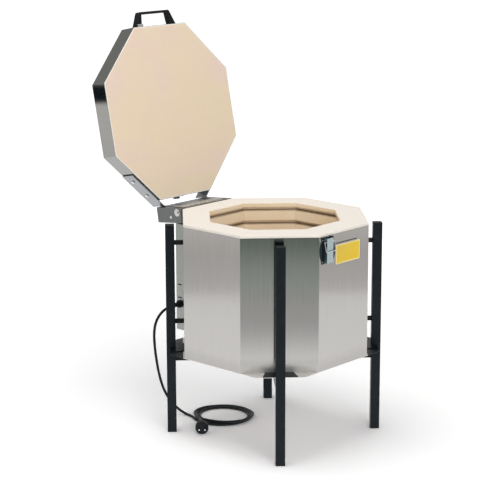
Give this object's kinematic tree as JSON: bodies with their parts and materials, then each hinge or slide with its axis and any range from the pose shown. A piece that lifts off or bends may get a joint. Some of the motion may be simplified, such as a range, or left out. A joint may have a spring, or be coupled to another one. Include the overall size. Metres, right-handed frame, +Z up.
{
  "type": "top-loading ceramic kiln",
  "caption": "Eight-sided electric kiln with firebrick chamber, grooved walls, stainless jacket, hinged lid, wire latch, corner legs, terminal box and mains cord.",
  "frame": {"origin": "on the floor, on the vertical axis of the casing", "axes": "+Z up, -Y towards the latch and the handle, +Y towards the hinge"},
  "size_m": [0.59, 0.8855, 1.3571],
  "materials": {
    "stainless": "brushed",
    "black_paint": "satin powder coat",
    "black_plastic": "matte",
    "firebrick": "matt, porous",
    "fibre_board": "matt fibre",
    "element_wire": "oxidised wire",
    "ceramic_tube": "matt",
    "zinc": "bright zinc",
    "latch_steel": "satin",
    "cord_rubber": "matt"
  },
  "bodies": {
    "kiln": {"casing_jacket": "stainless", "insulation_boards": "fibre_board", "floor_board": "fibre_board", "floor_brick": "firebrick", "heating_elements": "element_wire", "element_bushings": "ceramic_tube", "thermocouple": "ceramic_tube", "leg_front": "black_paint", "leg_right": "black_paint", "leg_back": "black_paint", "leg_left": "black_paint", "leg_feet": "black_plastic", "leg_caps": "black_plastic", "leg_spacers": "black_plastic", "leg_bolts": "zinc", "leg_nuts": "zinc", "base_pan": "stainless", "gusset_plates": "black_paint", "base_tube_long": "black_paint", "base_tube_left": "black_paint", "base_tube_right": "black_paint", "terminal_box_back": "stainless", "terminal_box_lower_cover": "stainless", "terminal_box_upper_cover": "stainless", "terminal_block": "ceramic_tube", "cover_screws": "zinc", "cord_gland": "black_plastic", "hinge_console": "stainless", "hinge_bracket": "black_paint", "hinge_rod": "zinc", "hinge_sleeves": "zinc", "console_bolts": "zinc", "latch_base": "latch_steel", "latch_screws": "zinc", "lever_pin": "zinc", "power_cord": "cord_rubber", "cord_coil": "cord_rubber", "plug_body": "cord_rubber", "plug_pins": "zinc", "wall_brick_1": "firebrick", "wall_brick_2": "firebrick", "wall_brick_3": "firebrick", "wall_brick_4": "firebrick", "wall_brick_5": "firebrick", "wall_brick_6": "firebrick", "wall_brick_7": "firebrick", "wall_brick_8": "firebrick"},
    "lid": {"lid_brick": "firebrick", "lid_fibre_wrap": "fibre_board", "lid_band": "stainless", "lid_cover": "stainless", "lid_arm_left": "stainless", "lid_arm_right": "stainless", "arm_bolts": "zinc", "lid_handle": "black_plastic", "handle_screws": "zinc", "latch_keeper": "zinc", "band_clamp": "zinc"},
    "latch_lever": {"latch_lever": "latch_steel"},
    "latch_bail": {"latch_bail": "zinc"}
  },
  "joints": [
    {"name": "lid_hinge", "type": "hinge", "parent": "kiln", "child": "lid", "pos_m": [0, 0.35, 0.692], "axis": [1, 0, 0], "range_deg": [0, 101.5]},
    {"name": "latch_lever_pivot", "type": "hinge", "parent": "kiln", "child": "latch_lever", "pos_m": [-0.085, -0.302, 0.7095], "axis": [-1, 0, 0], "range_deg": [0, 90]},
    {"name": "latch_bail_pivot", "type": "hinge", "parent": "latch_lever", "child": "latch_bail", "pos_m": [-0.085, -0.3045, 0.7025], "axis": [-1, 0, 0], "range_deg": [0, 80]}
  ]
}
